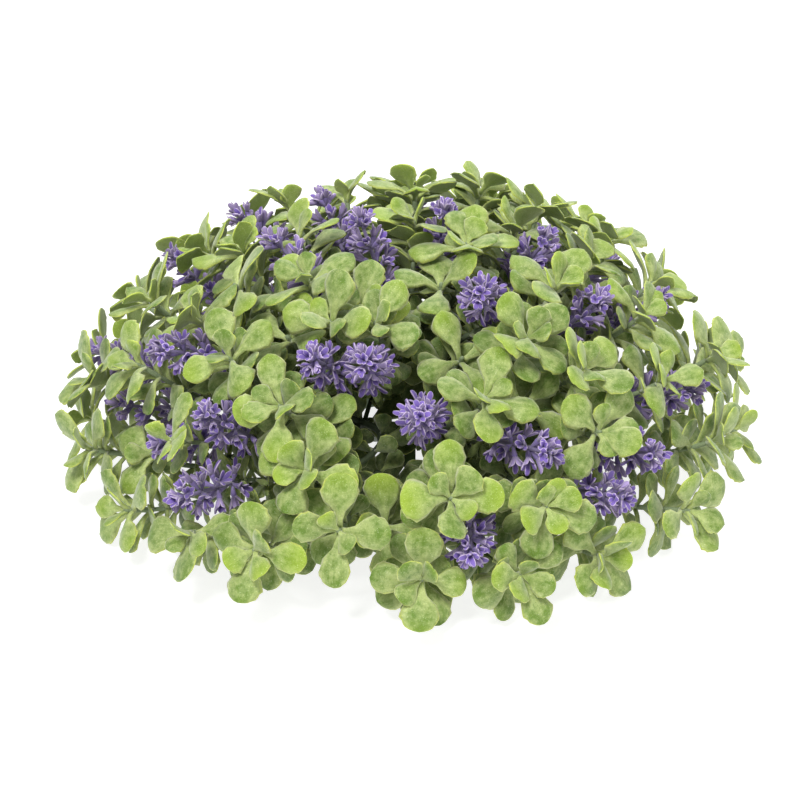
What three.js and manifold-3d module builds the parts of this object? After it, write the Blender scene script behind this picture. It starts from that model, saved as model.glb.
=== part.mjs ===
// A half ball of moulded boxwood picks and lavender heads plugged into a domed plastic cage.
// Millimetres and degrees, +Z up, the front towards -Y. The cage stands on z = 0.
import * as THREE from "three";
import { mergeVertices } from "three/addons/utils/BufferGeometryUtils.js";
import Module from "manifold-3d";

const wasm = await Module();
wasm.setup();

const radians = Math.PI / 180;
const up = new THREE.Vector3(0, 0, 1);

// The ellipsoid that the rosette centres lie on.
const dome = { radius: 124, rise: 83, centreHeight: 10 };
// The cage's three level rings, each as azimuth and elevation of its first socket and its number of sockets.
const rings = [
  { first: -10, elevation: 12, sockets: 9 },
  { first: 26, elevation: 40, sockets: 7 },
  { first: 36, elevation: 66, sockets: 5 },
];
const cage = {
  radius: 41,
  wall: 2.4,
  bandHeight: 12.6,
  hoopHeight: 3,
  ribWidth: 4.4,
  ribReach: 84,
  ribSteps: 3,
};
const boreOverrun = 4;
const arches = [0, 90];
const socket = { inner: 38.2, outer: 47, radius: 3.8, holeReach: 2.15 };
const seat = { gap: 0.3, plugInner: 39, plugReach: 1.6, shoulderReach: 3.0, shoulderHeight: 1.2 };
const stem = {
  sprigsAt: 4,
  forkAt: 10,
  forkHeight: 2.6,
  mainReach: 1.5,
  twigReach: 1.15,
  tipReach: 0.95,
  steps: 2,
  stiffness: 0.42,
};
const rosette = { tierHeight: 1.8, heartHeight: 1.7, spin: 45, deep: 0.9 };
// A rosette faces this high above level, and more for each degree that it stands up the dome. The rest is how
// far its place and its direction may stray.
const facing = { level: 14, climb: 0.8, azimuth: 8, elevation: 7, depth: 0.03 };
const bigLeaf = { length: 20.5, halfWidth: 6.1, spread: [56, 40], arch: 44, cup: -0.12 };
const heartLeaf = { length: 12.5, halfWidth: 4.2, spread: [20, 30], arch: 34, cup: -0.1 };
const blade = { thickness: 0.7, lowest: 1.3, skew: 1.75, fullness: 0.62 };
// How far one leaf may stray from its form, the gentler forms tried in turn where it has no room, and the
// turns tried for a whole rosette.
const stray = { spread: 7, arch: 16, size: 0.09, width: 0.06, turn: 9 };
const gentler = { sizes: [1, 0.87, 0.74], leans: [0, 9, -9, -18, 18, -28], spins: [0, 15, -15, 30, -30, 45] };
// Where a leaf is tested for room, as share of its length and place across it.
const tested = { along: [0.32, 0.44, 0.56, 0.68, 0.8, 0.92], across: [-1, -0.5, 0, 0.5, 1] };
// The room kept round the middle of each thing, and the step between the points that hold it.
const room = { pick: 2.4, twig: 2.2, leaf: 2.3, head: 0.92, headFrom: 0.16, headTo: 0.9, step: 1.5 };
// The points of a leaf's rim, and of its ridge where it has one, as share of its length and place across it.
const bigRim = { rim: [[0.45, -1.06], [0.92, -1.12], [0.92, 1.12], [0.45, 1.06]], ridge: [0.62, 0] };
const heartRim = { rim: [[0.62, -1], [1, 0], [0.62, 1]] };
const head = {
  length: 40,
  core: 2,
  floret: 10,
  fingers: 4,
  whorls: 4,
  footReach: 0.95,
  tipShare: 1.13,
  aimShare: 0.66,
  peakPitches: 0.6,
  valleyAt: 0.55,
  floretAt: 0.95,
  swellFrom: 0.3,
  swellBy: 0.5,
};

// Each pick's socket as azimuth and elevation, its rosettes, with their share of the dome where they lie
// deeper, and its lavender heads as foot and tip, with the tip's share where it isn't the usual one.
const picks = [
  { at: [-10, 12], rosettes: [[-12, 19], [-25, 12], [2, 8], [-5, 14, 0.82]], heads: [[16, 17, 9, 16]] },
  {
    at: [30, 12],
    rosettes: [[18, 7], [33, 6], [24, 22], [37, 14, 0.86]],
    heads: [[40, 13, 37, 21], [52, 21, 47, 26]],
  },
  { at: [70, 12], rosettes: [[52, 8], [65, 17], [80, 8], [73, 23, 0.86]], heads: [[74, 24, 66, 31]] },
  { at: [110, 12], rosettes: [[97, 15], [109, 5], [124, 12], [104, 11, 0.85]], heads: [] },
  { at: [150, 12], rosettes: [[139, 7], [154, 18], [167, 7]], heads: [[152, 25, 153, 27, 1.08]] },
  { at: [-170, 12], rosettes: [[-175, 18], [-162, 6], [-150, 16]], heads: [] },
  {
    at: [-130, 12],
    rosettes: [[-138, 6], [-117, 18], [-118, 4]],
    heads: [[-128, 14, -117, 37]],
  },
  {
    at: [-90, 12],
    rosettes: [[-71, 10], [-89, 4, 0.985], [-101, 14], [-80, 12, 0.86]],
    heads: [[-78, 25, -96, 19, 1.11], [-72, 21, -76, 20, 1.03]],
  },
  {
    at: [-50, 12],
    rosettes: [[-55, 5], [-38, 10], [-51, 26], [-60, 16, 0.9]],
    heads: [[-44, 15, -40, 19], [-62, 20, -55, 23, 1.03]],
  },
  {
    at: [26, 40],
    rosettes: [[7, 27], [18, 46], [41, 33], [31, 43, 0.84]],
    heads: [[5, 44, 2, 44, 1.15], [17, 40, 27, 33]],
  },
  { at: [77, 40], rosettes: [[85, 26], [62, 35], [95, 44], [76, 46]], heads: [[95, 38, 86, 45]] },
  { at: [129, 40], rosettes: [[111, 32], [130, 44], [146, 33], [113, 50]], heads: [[127, 34, 128, 32, 1.04]] },
  { at: [180, 40], rosettes: [[166, 34], [179, 47], [-163, 34], [157, 47]], heads: [[-176, 44, 180, 38]] },
  {
    at: [-129, 40],
    rosettes: [[-142, 34], [-127, 31], [-115, 45], [-150, 48, 0.95]],
    heads: [[-134, 24, -139, 20, 1.04]],
  },
  {
    at: [-77, 40],
    rosettes: [[-84, 20], [-94, 38], [-70, 34], [-75, 47, 0.95]],
    heads: [[-77, 44, -64, 41, 1.15]],
  },
  {
    at: [-26, 40],
    rosettes: [[-20, 30], [-30, 42], [-50, 47], [-24, 37, 0.82]],
    heads: [[-16, 57, -11, 54, 1.18], [-45, 26, -42, 37, 1.15]],
  },
  {
    at: [36, 66],
    rosettes: [[44, 46], [35, 56], [62, 62], [19, 58, 0.85]],
    heads: [[91, 68, 24, 66, 1.2], [72, 52, 65, 56, 1.17]],
  },
  { at: [108, 66], rosettes: [[74, 57], [110, 70], [130, 59], [94, 57]], heads: [[112, 64, 87, 68, 1.18]] },
  {
    at: [180, 66],
    rosettes: [[154, 61], [178, 68], [-155, 61], [-175, 58, 0.94]],
    heads: [[158, 71, 148, 79]],
  },
  {
    at: [-108, 66],
    rosettes: [[-100, 70], [-133, 60], [-74, 58], [-104, 57]],
    heads: [[-123, 64, -126, 51, 1.15]],
  },
  {
    at: [-36, 66],
    rosettes: [[-29, 62], [-12, 63], [-52, 68], [-48, 57, 0.88]],
    heads: [[-60, 74, -90, 67, 1.17], [-26, 56, -25, 53, 1.17]],
  },
  {
    at: [0, 90],
    rosettes: [[80, 80], [175, 82], [-25, 69, 0.9], [30, 78, 0.86]],
    heads: [[-70, 85, -83, 82, 1.22], [-134, 70, -144, 63]],
  },
];

// The Park-Miller draw, from 0 to 1.
let drawn = 20243;
function draw() {
  drawn = (drawn * 16807) % 2147483647;
  return drawn / 2147483647;
}
const spreadDraw = (reach) => reach * (2 * draw() - 1);

const vec = (x, y, z) => new THREE.Vector3(x, y, z);
// start + a * first + b * second + ...
function shifted(start, ...terms) {
  const out = start.clone();
  for (let i = 0; i < terms.length; i += 2) out.addScaledVector(terms[i + 1], terms[i]);
  return out;
}
function direction([azimuth, elevation]) {
  const flat = Math.cos(elevation * radians);
  return vec(
    flat * Math.sin(azimuth * radians),
    -flat * Math.cos(azimuth * radians),
    Math.sin(elevation * radians),
  );
}
function domePoint(angles, share = 1) {
  const d = direction(angles);
  return vec(
    share * dome.radius * d.x,
    share * dome.radius * d.y,
    dome.centreHeight + share * dome.rise * d.z,
  );
}
// The level direction across a stem, for a stem that starts along the given one.
function levelAcross(along) {
  const across = up.clone().cross(along);
  return across.length() > 0.05 ? across.normalize() : vec(1, 0, 0);
}

// Stations along a bent stem, each with the directions along it and across it. The bend is a cubic curve that
// leaves start along one direction and reaches end along another, and spin turns the stem evenly on the way.
function bentStem(start, along, across, end, endAlong, steps, spin = 0) {
  const reach = start.distanceTo(end) * stem.stiffness;
  const knee = shifted(start, reach, along);
  const hip = shifted(end, -reach, endAlong);
  const stations = [];
  let side = across.clone();
  for (let i = 0; i <= steps; i++) {
    const t = i / steps;
    const s = 1 - t;
    const point = vec(0, 0, 0)
      .addScaledVector(start, s * s * s)
      .addScaledVector(knee, 3 * s * s * t)
      .addScaledVector(hip, 3 * s * t * t)
      .addScaledVector(end, t * t * t);
    const heading = vec(0, 0, 0)
      .addScaledVector(knee.clone().sub(start), s * s)
      .addScaledVector(hip.clone().sub(knee), 2 * s * t)
      .addScaledVector(end.clone().sub(hip), t * t)
      .normalize();
    side = shifted(side, -side.dot(heading), heading).normalize();
    const turned = side.clone().applyAxisAngle(heading, spin * t * radians);
    stations.push({ point, along: heading, across: turned });
  }
  return stations;
}

// The space that is already taken, as cells that hold the number of their owner. Owner 0 is nobody's.
const cell = { size: 1.3, offset: 400.37, span: 640 };
const taken = new Map();
const cellKey = (p) =>
  (Math.floor((p.x + cell.offset) / cell.size) * cell.span +
    Math.floor((p.y + cell.offset) / cell.size)) *
    cell.span +
  Math.floor((p.z + cell.offset) / cell.size);
function take(points, reach, owner) {
  const steps = Math.ceil(reach / cell.size);
  for (const p of points)
    for (let i = -steps; i <= steps; i++)
      for (let j = -steps; j <= steps; j++)
        for (let k = -steps; k <= steps; k++) {
          if ((i * i + j * j + k * k) * cell.size * cell.size > reach * reach) continue;
          const key = cellKey(vec(p.x + i * cell.size, p.y + j * cell.size, p.z + k * cell.size));
          const before = taken.get(key);
          taken.set(key, before === undefined || before === owner ? owner : 0);
        }
}
const isFree = (points, owner) =>
  points.every((p) => {
    const holder = taken.get(cellKey(p));
    return p.z > blade.lowest && (holder === undefined || holder === owner);
  });
function between(stations, spacing) {
  const points = [];
  for (let i = 1; i < stations.length; i++) {
    const a = stations[i - 1].point;
    const b = stations[i].point;
    const count = Math.ceil(a.distanceTo(b) / spacing);
    for (let j = 0; j < count; j++) points.push(a.clone().lerp(b, (j + 0.5) / count));
  }
  return points;
}

// Half width of a spatulate leaf at share u of its length, as a share of the greatest.
const leafProfile = (u) => Math.pow(Math.sin(Math.PI * Math.pow(u, blade.skew)), blade.fullness);
// A point of the leaf's middle surface: u runs along it, v from -1 to 1 across, lift is the height above it.
function leafPoint(leaf, u, v, lift = 0) {
  const start = leaf.spread * radians;
  const bend = leaf.arch * radians;
  const angle = start + bend * u;
  const along = (leaf.length * (Math.sin(angle) - Math.sin(start))) / bend;
  const out = (-leaf.length * (Math.cos(angle) - Math.cos(start))) / bend;
  const halfWidth = leaf.halfWidth * leafProfile(u);
  const raised = leaf.cup * halfWidth * v * v + lift;
  return shifted(
    leaf.root,
    along + raised * Math.sin(angle),
    leaf.axis,
    out - raised * Math.cos(angle),
    leaf.out,
    halfWidth * v,
    leaf.side,
  );
}
function leafSamples(leaf) {
  const points = [];
  for (const u of tested.along) for (const v of tested.across) points.push(leafPoint(leaf, u, v));
  points.push(leafPoint(leaf, 1, 0));
  return points;
}

// Face number k of a stem station points this way, turned by some more degrees.
function faceOut(station, k, more = 0) {
  return station.across
    .clone()
    .applyAxisAngle(station.along, ((k - 1) * 90 + more) * radians);
}
function makeLeaf(form, station, rise, k, more, pair, wobble) {
  const out = faceOut(station, k, more + wobble.turn);
  const side = station.along.clone().cross(out);
  return {
    root: shifted(station.point, rise, station.along),
    axis: station.along,
    out,
    side,
    spread: form.spread[pair] + wobble.spread,
    arch: form.arch + wobble.arch,
    length: form.length * wobble.size,
    halfWidth: form.halfWidth * wobble.size * wobble.width,
    cup: form.cup,
  };
}
function drawWobble() {
  return {
    spread: spreadDraw(stray.spread),
    arch: spreadDraw(stray.arch),
    size: 1 + spreadDraw(stray.size),
    width: 1 + spreadDraw(stray.width),
    turn: spreadDraw(stray.turn),
  };
}
// The leaf as drawn, or the first gentler one that clears what is there, or nothing.
function fitted(leaf, owner) {
  for (const size of gentler.sizes)
    for (const lean of gentler.leans) {
      const tried = {
        ...leaf,
        spread: leaf.spread + lean,
        length: leaf.length * size,
        halfWidth: leaf.halfWidth * size,
      };
      if (isFree(leafSamples(tried), owner)) return tried;
    }
  return null;
}

// The layout: every stem first, then the heads, then the rosettes, each clear of what came before.
let owners = 0;
for (const pick of picks) {
  pick.along = direction(pick.at);
  pick.across = levelAcross(pick.along);
  const forkAt = (distance) =>
    [distance, distance + stem.forkHeight].map((height) => ({
      point: pick.along.clone().multiplyScalar(socket.outer + seat.gap + height),
      along: pick.along,
      across: pick.across,
    }));
  pick.lowFork = forkAt(stem.sprigsAt);
  pick.fork = forkAt(stem.forkAt);
  pick.owner = ++owners;
  take(between([{ point: vec(0, 0, 0) }, pick.fork[1]], room.step), room.pick, pick.owner);

  // The rosette nearest the socket's own direction ends the main stem; the others end twigs.
  const nearness = (angles) => domePoint(angles).normalize().dot(pick.along);
  const order = [...pick.rosettes].sort((a, b) => nearness(b) - nearness(a));
  pick.branches = order.map(([azimuth, elevation, share = 1], place) => {
    const end = domePoint([azimuth, elevation], share + spreadDraw(facing.depth));
    const toward = direction([
      azimuth + spreadDraw(facing.azimuth),
      facing.level + facing.climb * elevation + spreadDraw(facing.elevation),
    ]);
    return { end, toward, main: place === 0, bare: share < rosette.deep, owner: ++owners };
  });
  pick.sprigs = pick.heads.map(([footAzimuth, footElevation, tipAzimuth, tipElevation, tipShare]) => {
    const tip = domePoint([tipAzimuth, tipElevation], tipShare ?? head.tipShare);
    const aim = domePoint([footAzimuth, footElevation], head.aimShare);
    const toward = tip.clone().sub(aim).normalize();
    return { end: shifted(tip, -head.length, toward), toward, tip, owner: ++owners };
  });
  for (const [grown, fork] of [
    [pick.branches.filter((branch) => !branch.main), pick.fork],
    [pick.sprigs, pick.lowFork],
  ]) {
    const freeFaces = [0, 1, 2, 3];
    for (const branch of grown) {
      const heading = branch.end.clone().sub(fork[0].point);
      const nearHeading = (k) => faceOut(fork[0], k).dot(heading);
      freeFaces.sort((a, b) => nearHeading(b) - nearHeading(a));
      branch.fork = fork;
      branch.face = freeFaces.shift();
    }
  }
}
const stemStart = (pick, branch) => {
  if (branch.main) return { point: pick.fork[1].point, along: pick.along, across: pick.across };
  const out = faceOut(branch.fork[0], branch.face);
  const middle = shifted(branch.fork[0].point, stem.forkHeight / 2, pick.along);
  return {
    point: shifted(middle, stem.mainReach * Math.SQRT1_2, out),
    along: out,
    across: pick.along.clone().cross(out),
  };
};
const routed = (pick, branch, steps, spin) => {
  const start = stemStart(pick, branch);
  return bentStem(start.point, start.along, start.across, branch.end, branch.toward, steps, spin);
};
for (const pick of picks)
  for (const branch of [...pick.branches, ...pick.sprigs])
    take(between(routed(pick, branch, 8), room.step), room.twig, branch.owner);
for (const pick of picks)
  for (const sprig of pick.sprigs) {
    const middle = [room.headFrom, room.headTo].map((share) => ({
      point: sprig.end.clone().lerp(sprig.tip, share),
    }));
    take(between(middle, room.step), head.floret * room.head, sprig.owner);
  }
for (const pick of picks)
  for (const branch of pick.branches) {
    const wobbles = Array.from({ length: branch.bare ? 4 : 6 }, drawWobble);
    const leavesAt = (spin) => {
      const top = routed(pick, branch, stem.steps, spin).at(-1);
      return wobbles.map((wobble, i) =>
        i < 4
          ? makeLeaf(bigLeaf, top, rosette.tierHeight / 2, i, 0, i % 2, wobble)
          : makeLeaf(
              heartLeaf,
              top,
              rosette.tierHeight + rosette.heartHeight / 2,
              2 * (i - 4),
              rosette.spin,
              i - 4,
              wobble,
            ),
      );
    };
    let best = -1;
    for (const spin of gentler.spins) {
      const count = leavesAt(spin)
        .slice(0, 4)
        .filter((leaf) => isFree(leafSamples(leaf), branch.owner)).length;
      if (count > best) {
        best = count;
        branch.spin = spin;
      }
    }
    branch.leaves = leavesAt(branch.spin).map((leaf) => {
      const made = fitted(leaf, branch.owner);
      if (made) take(leafSamples(made), room.leaf, branch.owner);
      return made;
    });
  }

// A growing skin of triangles. Rings have four corners, counter-clockwise seen from the stem's tip.
class Skin {
  constructor() {
    this.points = [];
    this.faces = [];
  }
  add(point) {
    this.points.push(point);
    return this.points.length - 1;
  }
  ring({ point, along, across }, reach) {
    const over = along.clone().cross(across);
    const arm = reach * Math.SQRT1_2;
    return [
      [-1, -1],
      [1, -1],
      [1, 1],
      [-1, 1],
    ].map(([a, b]) => this.add(shifted(point, a * arm, across, b * arm, over)));
  }
  // Faces in order a, b, c and d become two triangles.
  quad([a, b, c, d]) {
    this.faces.push(a, b, c, a, c, d);
  }
  sides(low, high) {
    return low.map((_, k) => [low[k], low[(k + 1) % 4], high[(k + 1) % 4], high[k]]);
  }
  band(low, high) {
    this.sides(low, high).forEach((side) => this.quad(side));
  }
  // Grows a leaf out of a side of the stem. Both faces are the same fan of triangles, round a point on the ridge
  // or from the middle of the rim.
  leaf(side, leaf, { rim, ridge }) {
    const half = blade.thickness / 2;
    const [a, b, c, d] = side;
    const upper = [d, ...rim.map(([u, v]) => this.add(leafPoint(leaf, u, v, half))), c];
    const lower = [a, ...rim.map(([u, v]) => this.add(leafPoint(leaf, u, v, -half))), b];
    const last = upper.length - 1;
    const middle = Math.floor(last / 2);
    const upperHub = ridge ? this.add(leafPoint(leaf, ...ridge, half)) : upper[middle];
    const lowerHub = ridge ? this.add(leafPoint(leaf, ...ridge, -half)) : lower[middle];
    for (let i = 0; i <= last; i++) {
      const next = (i + 1) % upper.length;
      if (i < last) this.quad([upper[i], lower[i], lower[next], upper[next]]);
      if (!ridge && (i === middle || next === middle)) continue;
      this.faces.push(upperHub, upper[i], upper[next]);
      this.faces.push(lowerHub, lower[next], lower[i]);
    }
  }
  geometry() {
    const made = new THREE.BufferGeometry().setFromPoints(this.points);
    made.setIndex(this.faces);
    return made;
  }
}

function pickGeometry(pick) {
  const skin = new Skin();
  const at = (distance) => ({
    point: pick.along.clone().multiplyScalar(distance),
    along: pick.along,
    across: pick.across,
  });
  const mouth = socket.outer + seat.gap;
  const foot = [
    skin.ring(at(seat.plugInner), seat.plugReach),
    skin.ring(at(mouth), seat.plugReach),
    skin.ring(at(mouth), seat.shoulderReach),
    skin.ring(at(mouth + seat.shoulderHeight), seat.shoulderReach),
  ];
  skin.quad([...foot[0]].reverse());
  for (let i = 1; i < foot.length; i++) skin.band(foot[i - 1], foot[i]);

  let below = foot.at(-1);
  const grown = [...pick.sprigs, ...pick.branches];
  for (const fork of [pick.lowFork, pick.fork]) {
    const bottom = skin.ring(fork[0], stem.mainReach);
    const top = skin.ring(fork[1], stem.mainReach);
    skin.band(below, bottom);
    skin.sides(bottom, top).forEach((face, k) => {
      const branch = grown.find((one) => one.fork === fork && one.face === k);
      if (branch) branch.root = face;
      else skin.quad(face);
    });
    below = top;
  }
  for (const branch of grown) {
    const stations = routed(pick, branch, branch.leaves ? stem.steps : 2, branch.spin ?? 0);
    let ring = branch.main ? below : branch.root;
    for (let i = 1; i < stations.length; i++) {
      const next = skin.ring(stations[i], i < stations.length - 1 ? stem.twigReach : stem.tipReach);
      skin.band(ring, next);
      ring = next;
    }
    if (branch.leaves) {
      const top = stations.at(-1);
      const raised = (height) => ({ ...top, point: shifted(top.point, height, top.along) });
      const [a, b] = branch.leaves.slice(4);
      const tiers = [[rosette.tierHeight, branch.leaves.slice(0, 4), bigRim]];
      if (!branch.bare) tiers.push([rosette.tierHeight + rosette.heartHeight, [a, null, b, null], heartRim]);
      for (const [height, leaves, outline] of tiers) {
        const next = skin.ring(raised(height), stem.tipReach);
        skin.sides(ring, next).forEach((side, k) => {
          if (leaves[k]) skin.leaf(side, leaves[k], outline);
          else skin.quad(side);
        });
        ring = next;
      }
    }
    skin.quad(ring);
  }
  return skin.geometry();
}

// A flower spike: rings round a core, and between them stars whose points are the florets of one whorl.
function headGeometry(sprig) {
  const skin = new Skin();
  const along = sprig.toward;
  const across = levelAcross(along);
  const over = along.clone().cross(across);
  const spot = (angle, radius, height) =>
    skin.add(
      shifted(
        sprig.end,
        radius * Math.cos(angle),
        across,
        radius * Math.sin(angle),
        over,
        seat.gap + height,
        along,
      ),
    );
  const n = head.fingers;
  const pitch = (head.length - seat.gap) / (head.whorls + head.peakPitches);
  const step = Math.PI / n;
  const ringAt = (turn, radius, height) =>
    Array.from({ length: n }, (_, k) => spot((2 * k + turn) * step, radius, height));
  let ring = ringAt(0, head.footReach, 0);
  for (let k = 2; k < n; k++) skin.faces.push(ring[0], ring[k], ring[k - 1]);
  for (let w = 0; w < head.whorls; w++) {
    const swell = Math.sin(Math.PI * (head.swellFrom + (head.swellBy * w) / (head.whorls - 1)));
    const valley = ringAt(w, head.core, (w + head.valleyAt) * pitch);
    const tip = ringAt(w + 1, head.floret * swell, (w + head.floretAt) * pitch);
    const next = ringAt(w + 1, head.core, (w + 1) * pitch);
    for (let k = 0; k < n; k++) {
      const after = (k + 1) % n;
      skin.faces.push(ring[k], ring[after], tip[k]);
      skin.faces.push(ring[k], tip[k], valley[k]);
      skin.faces.push(ring[after], valley[after], tip[k]);
      skin.faces.push(valley[k], tip[k], next[k]);
      skin.faces.push(tip[k], valley[after], next[k]);
      skin.faces.push(valley[after], next[after], next[k]);
    }
    ring = next;
  }
  const peak = spot(0, 0, head.length - seat.gap);
  for (let k = 0; k < n; k++) skin.faces.push(ring[k], ring[(k + 1) % n], peak);
  return skin.geometry();
}

// A closed geometry as a solid that can be joined and cut.
function solidOf(geometry) {
  geometry.deleteAttribute("normal");
  geometry.deleteAttribute("uv");
  const merged = mergeVertices(geometry, 1e-4);
  return new wasm.Manifold(
    new wasm.Mesh({
      numProp: 3,
      vertProperties: merged.attributes.position.array,
      triVerts: new Uint32Array(merged.index.array),
    }),
  );
}
function extruded(points, depth) {
  const shape = new THREE.Shape(points.map(([x, y]) => new THREE.Vector2(x, y)));
  return new THREE.ExtrudeGeometry(shape, { depth, bevelEnabled: false });
}
// A level ring of rectangular section with two flats to a socket, each socket in the middle of a flat.
function hoop(ring, radius, height, base) {
  const profile = [
    [radius, 0],
    [radius, height],
    [radius - cage.wall, height],
    [radius - cage.wall, 0],
    [radius, 0],
  ].map(([x, y]) => new THREE.Vector2(x, y));
  const flats = 2 * ring.sockets;
  const start = (ring.first - 180 / flats) * radians;
  return new THREE.LatheGeometry(profile, flats, start).rotateX(90 * radians).translate(0, 0, base);
}
// A half ring that stands on the band and passes over the top of the cage.
function arch(azimuth) {
  const outline = [];
  for (const [radius, turns] of [[cage.radius, -1], [cage.radius - cage.wall, 1]])
    for (let i = 0; i <= 2 * cage.ribSteps; i++) {
      const angle = 90 + turns * (i / cage.ribSteps - 1) * cage.ribReach;
      outline.push([radius * Math.cos(angle * radians), radius * Math.sin(angle * radians)]);
    }
  return extruded(outline, cage.ribWidth)
    .translate(0, 0, -cage.ribWidth / 2)
    .rotateX(90 * radians)
    .rotateZ(azimuth * radians);
}
// The matrix that lays something made along +Z along a socket.
function socketMatrix(pick) {
  const over = pick.along.clone().cross(pick.across);
  return new THREE.Matrix4().makeBasis(pick.across, over, pick.along);
}
function cageGeometry() {
  const [band, ...hoops] = rings;
  const pieces = [hoop(band, cage.radius, cage.bandHeight, 0), ...arches.map(arch)];
  for (const ring of hoops) {
    const radius = cage.radius * Math.cos(ring.elevation * radians) + cage.wall / 4;
    const middle = (cage.radius - cage.wall / 2) * Math.sin(ring.elevation * radians);
    pieces.push(hoop(ring, radius, cage.hoopHeight, middle - cage.hoopHeight / 2));
  }
  const length = socket.outer - socket.inner;
  const corners = [0, 60, 120, 180, 240, 300].map((angle) => [
    socket.radius * Math.cos(angle * radians),
    socket.radius * Math.sin(angle * radians),
  ]);
  const width = socket.holeReach * Math.SQRT2;
  const bores = [];
  for (const pick of picks) {
    const matrix = socketMatrix(pick);
    pieces.push(extruded(corners, length).translate(0, 0, socket.inner).applyMatrix4(matrix));
    const bore = new THREE.BoxGeometry(width, width, length + 2 * boreOverrun);
    bores.push(bore.translate(0, 0, socket.inner + length / 2).applyMatrix4(matrix));
  }
  const joined = pieces.map(solidOf).reduce((sum, piece) => sum.add(piece));
  const made = bores.map(solidOf).reduce((rest, bore) => rest.subtract(bore), joined).getMesh();
  const geometry = new THREE.BufferGeometry();
  geometry.setAttribute("position", new THREE.BufferAttribute(made.vertProperties.slice(), 3));
  geometry.setIndex([...made.triVerts]);
  return geometry;
}

const group = new THREE.Group();
function addNode(name, geometry, color) {
  const mesh = new THREE.Mesh(geometry, new THREE.MeshStandardMaterial({ color, roughness: 0.8 }));
  mesh.name = name;
  group.add(mesh);
}
const numbered = (name, i) => name + "_" + String(i + 1).padStart(2, "0");
addNode("cage", cageGeometry(), 0x2f4a2c);
picks.forEach((pick, i) => addNode(numbered("pick", i), pickGeometry(pick), 0x9db97c));
picks
  .flatMap((pick) => pick.sprigs)
  .forEach((sprig, i) => addNode(numbered("lavender", i), headGeometry(sprig), 0x7a6bae));

export default group;
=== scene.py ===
import math

import bpy
import numpy as np
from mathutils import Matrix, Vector


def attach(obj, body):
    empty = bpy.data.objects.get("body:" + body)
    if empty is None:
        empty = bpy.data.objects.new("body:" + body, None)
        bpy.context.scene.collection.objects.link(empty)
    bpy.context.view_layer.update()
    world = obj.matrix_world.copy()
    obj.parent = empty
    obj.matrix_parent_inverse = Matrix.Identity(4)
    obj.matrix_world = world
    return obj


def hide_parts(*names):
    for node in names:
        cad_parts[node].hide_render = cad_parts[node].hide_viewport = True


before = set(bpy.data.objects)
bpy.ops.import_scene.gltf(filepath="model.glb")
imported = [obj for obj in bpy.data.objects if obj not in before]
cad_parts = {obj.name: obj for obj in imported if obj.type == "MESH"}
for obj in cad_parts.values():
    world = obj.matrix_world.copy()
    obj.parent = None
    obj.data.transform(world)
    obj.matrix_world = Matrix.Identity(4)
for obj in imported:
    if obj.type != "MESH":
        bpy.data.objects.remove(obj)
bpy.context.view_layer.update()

# Lengths in this script are in millimetres until a mesh is made, and angles in degrees.
metre = 0.001

# The ellipsoid that the rosette centres lie on, and the sockets' mouths on the cage.
dome = dict(radius=124, rise=83, centreHeight=10)
socket = dict(inner=38.2, outer=47)
seat = dict(gap=0.3, plugInner=39, plugReach=1.6, shoulderReach=3.0, shoulderHeight=1.2)
socketMouth = socket["outer"] + seat["gap"]

# Heights of a pick's two forks over the mouth, radii of its stems and how stiffly they bend. A stem has few
# steps where only its end or its room counts.
stem = dict(sprigsAt=4, forkAt=10, forkHeight=2.6, mainReach=1.5, twigReach=1.3, sprigReach=0.95,
            tipReach=0.75, stiffness=0.42)
stemSteps = dict(end=2, room=8, leaves=24, twigMesh=20, sprigMesh=16)

# A rosette faces up by lift + follow times its elevation, give or take a draw. Of some turns it takes the one
# with most leaves clear. Where it lies deeper than bareShare it has its four big leaves alone.
rosette = dict(tierHeight=1.8, heartHeight=1.7, spin=45, turns=(0, 15, -15, 30, -30, 45), room=2.3, lift=14,
               follow=0.8, azimuthDraw=8, elevationDraw=7, shareDraw=0.03, bareShare=0.9)
bigLeaf = dict(length=20.5, halfWidth=6.1, spread=(56, 40), arch=44, cup=-0.12)
heartLeaf = dict(length=12.5, halfWidth=4.2, spread=(20, 30), arch=34, cup=-0.1)
heartMiddle = rosette["tierHeight"] + rosette["heartHeight"] / 2
# How far one leaf may differ from its form, and what is tried until it is clear.
leafDraw = dict(spread=7, arch=16, size=0.09, width=0.06, turn=9)
gentler = dict(sizes=(1, 0.87, 0.74), leans=(0, 9, -9, -18, 18, -28))
head = dict(length=40, tipShare=1.13, aimShare=0.66, room=9.2, roomFrom=0.16, roomTo=0.9)

# Room that other nodes keep from the stems, and the least heights above the floor.
stemRoom = dict(main=2.4, twig=2.2, spacing=1.5)
aboveFloor = dict(leaf=1.3, stem=2.2, rim=0.3)

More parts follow.
